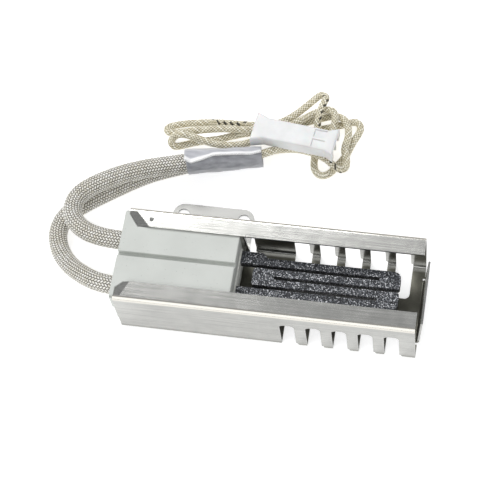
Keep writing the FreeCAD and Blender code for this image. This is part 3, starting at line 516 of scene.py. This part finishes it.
# Each route is its curve's control points, in millimetres
LEADS = {
    "tracer_lead": [
        (13.0, 24.6, 7.8), (18.5, 28.6, 6.6), (24.4, 30.6, 5.4), (31.0, 31.0, 4.8), (39.4, 28.8, 4.8),
        (44.0, 25.0, 4.8), (47.0, 24.0, 4.0), (48.5, 25.5, 4.0), (48.5, 28.5, 4.6), (46.6, 32.7, 4.8),
        (48.0, 39.6, 4.9), (46.0, 46.0, 5.2), (40.9, 49.1, 2.4), (34.3, 47.0, 1.7), (27.9, 44.3, 1.7),
        (18.0, 42.5, 1.7), (8.0, 41.5, 1.7), (-4.0, 41.5, 1.7), (-16.0, 40.0, 1.7), (-22.5, 38.0, 2.0),
        (-24.5, 36.5, 2.5), (-24.5, 34.5, 3.0), (-22.5, 33.5, 3.8), (-19.0, 34.0, 4.0), (-11.1, 35.6, 4.7),
        (-1.3, 37.3, 4.8), (7.2, 37.3, 4.8), (14.8, 39.7, 4.8), (21.9, 43.1, 4.6), (27.0, 48.0, 4.6),
        (32.0, 54.0, 4.6), (34.0, 56.5, 4.6), (36.0, 56.0, 5.0), (37.0, 54.0, 6.5), (36.0, 50.0, 8.0),
        (35.0, 45.0, 7.0), (35.0, 40.5, 4.8), (38.0, 35.0, 4.9), (41.0, 30.0, 4.9), (41.7, 29.7, 9.0),
    ],
    "plain_lead": [
        (12.8, 26.1, 4.3), (18.3, 30.2, 3.2), (24.6, 32.4, 1.9), (30.0, 32.8, 1.7), (35.5, 32.0, 1.7),
        (35.5, 25.5, 1.7), (37.5, 22.5, 1.7), (40.0, 22.0, 1.7), (42.5, 23.5, 1.7), (45.6, 28.5, 1.7),
        (47.9, 32.4, 1.7), (49.2, 37.5, 1.7), (52.0, 44.0, 1.7), (51.0, 46.5, 1.7), (49.0, 47.5, 1.7),
        (45.2, 45.9, 1.7), (39.6, 43.5, 1.7), (28.0, 40.5, 1.7), (16.0, 39.5, 1.7), (8.0, 38.0, 1.7),
        (1.9, 36.0, 1.7), (-3.8, 33.7, 1.7), (-9.3, 32.5, 1.7), (-13.5, 31.1, 1.7), (-17.5, 29.5, 1.7),
        (-20.0, 28.5, 2.0), (-21.5, 29.0, 2.5), (-22.0, 30.0, 3.4), (-21.0, 31.5, 4.6), (-18.0, 32.0, 6.8),
        (-12.5, 31.5, 6.0), (-6.5, 30.2, 4.8), (0.4, 29.7, 4.6), (6.9, 31.1, 4.2), (12.3, 34.4, 3.6),
        (19.8, 38.4, 4.6), (27.0, 43.4, 4.8), (33.0, 48.0, 4.8), (37.5, 50.0, 5.0), (40.6, 49.1, 5.6),
        (41.7, 45.8, 5.6), (41.5, 40.5, 4.8), (41.5, 38.0, 4.8), (42.0, 34.0, 5.0), (42.2, 34.0, 9.0),
    ],
}

# Varnished glass yarn: beige and slightly glossy, painted dark between the strands as painted shade and near
# white on their crowns as painted shine.
# The tracer strand shows as black dots, drawn larger than real.
# The real braid is finer than 7 strands a way and is drawn coarser here, so that the strands show.
varnished, tree, shader = new_material("varnished_glass_yarn", Roughness=0.4, IOR=1.52)
high = add(tree, "Attribute", attribute_name="height").outputs["Fac"]
tone = add(tree, "Attribute", attribute_name="tone").outputs["Fac"]
black = add(tree, "Attribute", attribute_name="tracer").outputs["Fac"]
# Painted light: by the braid's height, the gaps are painted dark as painted shade and the crowns near white as
# painted shine.
shade = add(tree, "ValToRGB", {"Fac": high},
            [(0.2, "#5c553e"), (0.44, "#d3ccb0"), (0.68, "#fcf8e8"), (1.0, "#fffdf5")])
vary = add(tree, "ValToRGB", {"Fac": tone}, [(0.0, "#dcd7c8"), (1.0, "#ffffff")])
yarn = add(tree, "MixRGB", {"Fac": 1.0, "Color1": shade.outputs["Color"], "Color2": vary.outputs["Color"]},
           blend_type="MULTIPLY")
marked = add(tree, "MixRGB", {"Fac": black, "Color1": yarn.outputs["Color"], "Color2": linear("#1c1b19")})
tree.links.new(marked.outputs["Color"], shader.inputs["Base Color"])

LEAD_RADIUS = 1.5 * MM
LEAD_STRANDS = 7
LEAD_FLOAT = 1
LEAD_RELIEF = 0.3 * MM
LEAD_STEP = 0.2 * MM
LEAD_AROUND = 48
# How far round from the upper side the tracer lies, in turns, at shares of the lead's length
TRACER_SHARES = (0, 0.06, 0.075, 0.145, 0.165, 0.425, 0.44, 0.48, 0.495, 0.86, 0.878, 1)
TRACER_TURNS = (0.5, 0.5, 0.04, -0.04, -0.5, -0.5, -0.1, -0.1, -0.5, -0.5, 0.0, 0.02)
# The side that the tracer is counted from: up and a little to the front
UPPER_SIDE = np.array((0.149, -0.421, 0.895))
lead_line = {}
for name, route in LEADS.items():
    lead_line[name] = centreline(name + "_line", route, LEAD_STEP)
    sides, ups = carried_frames(lead_line[name])
    upper = np.unwrap(np.arctan2(ups @ UPPER_SIDE, sides @ UPPER_SIDE)) / (2 * math.pi)
    shares = np.linspace(0, 1, len(upper))
    piece = braided_tube(name + "_braid", lead_line[name], LEAD_RADIUS, LEAD_STRANDS, LEAD_FLOAT, LEAD_AROUND,
                         LEAD_RELIEF, upper + np.interp(shares, TRACER_SHARES, TRACER_TURNS))
    if name == "plain_lead":
        piece.data.attributes["tracer"].data.foreach_set("value", [0.0] * len(piece.data.vertices))
    piece.data.materials.append(varnished)
    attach(piece, "root")
    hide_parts(name, name + "_hank")


# Connector housing
# A two-way housing moulded in natural white nylon, with flared ends, lying on the loops of lead.

# Moulded natural nylon: milky white, satin, a little translucent at the edges
FLOW_CLOUD = 6 * MM
nylon, tree, shader = new_material("moulded_natural_nylon", Roughness=0.35, IOR=1.53,
                                   Subsurface_Weight=0.15, Subsurface_Scale=2 * MM)
place = add(tree, "TexCoord").outputs["Object"]
cloud = add(tree, "TexNoise", {"Vector": place, "Scale": 1 / FLOW_CLOUD, "Detail": 3.0})
milky = add(tree, "ValToRGB", {"Fac": cloud.outputs["Fac"]}, [(0.3, "#dcdddd"), (0.7, "#e9e9e9")])
tree.links.new(milky.outputs["Color"], shader.inputs["Base Color"])
relief = add(tree, "Bump", {"Height": cloud.outputs["Fac"], "Strength": 0.2, "Distance": 0.2 * MM})
tree.links.new(relief.outputs["Normal"], shader.inputs["Normal"])
dress(nylon, "connector_housing")


# Table and light
# A white table in an evenly lit room, with soft boxes behind on the left, in front and on the right.

# White paper: matt, and so evenly lit that it shows as plain white
table_mesh = bpy.data.meshes.new("table")
table_mesh.from_pydata([(-0.6, -0.8, 0), (0.8, -0.8, 0), (0.8, 1.0, 0), (-0.6, 1.0, 0)], [], [(0, 1, 2, 3)])
table = bpy.data.objects.new("table", table_mesh)
bpy.context.scene.collection.objects.link(table)
paper, tree, shader = new_material("white_paper", Roughness=0.9, Emission_Strength=0.6)
shader.inputs["Base Color"].default_value = linear("#e6e6e6")
shader.inputs["Emission Color"].default_value = (1, 1, 1, 1)
table_mesh.materials.append(paper)

world = bpy.data.worlds.new("studio")
bpy.context.scene.world = world
world.use_nodes = True
world.node_tree.nodes["Background"].inputs["Color"].default_value = (0.97, 0.98, 1.0, 1)
world.node_tree.nodes["Background"].inputs["Strength"].default_value = 0.44


def soft_box(name, place, target, width, depth, power):
    """A rectangular soft light aimed at a point."""
    light = bpy.data.lights.new(name, "AREA")
    light.shape = "RECTANGLE"
    light.size = width
    light.size_y = depth
    light.energy = power
    lamp = bpy.data.objects.new(name, light)
    lamp.location = place
    lamp.rotation_euler = (Vector(target) - Vector(place)).to_track_quat("-Z", "Y").to_euler()
    bpy.context.scene.collection.objects.link(lamp)


soft_box("rear_box", (-0.43, 0.68, 1.0), (-0.42, 0.64, 0.0), 0.72, 0.44, 8.5)
soft_box("rear_fill", (0.06, 0.66, 1.0), (0.06, 0.62, 0.0), 0.24, 0.44, 0.2)
soft_box("front_box", (-0.2, -1.0, 0.75), (0, 0, 0), 1.4, 1.5, 8.0)
soft_box("right_box", (0.9, 0.0, 0.9), (0, 0, 0), 0.6, 0.6, 1.5)

bpy.context.scene.view_settings.view_transform = "Standard"

# The camera stands where the photograph's did, as fitted to the corners and slots of the cage
camera_data = bpy.data.cameras.new("photo_view")
camera_data.lens = 122.96
camera_data.sensor_width = 36
camera_data.sensor_fit = "HORIZONTAL"
camera_data.clip_start = 0.01
camera_data.clip_end = 50
camera = bpy.data.objects.new("photo_view", camera_data)
right = (0.9835, 0.1569, -0.0898)
up = (-0.1027, 0.8936, 0.4370)
back = (0.1488, -0.4206, 0.8950)
place = Matrix.Translation((0.1136, -0.2864, 0.5874))
camera.matrix_world = place @ Matrix((right, up, back)).transposed().to_4x4()
bpy.context.scene.collection.objects.link(camera)
bpy.context.scene.camera = camera
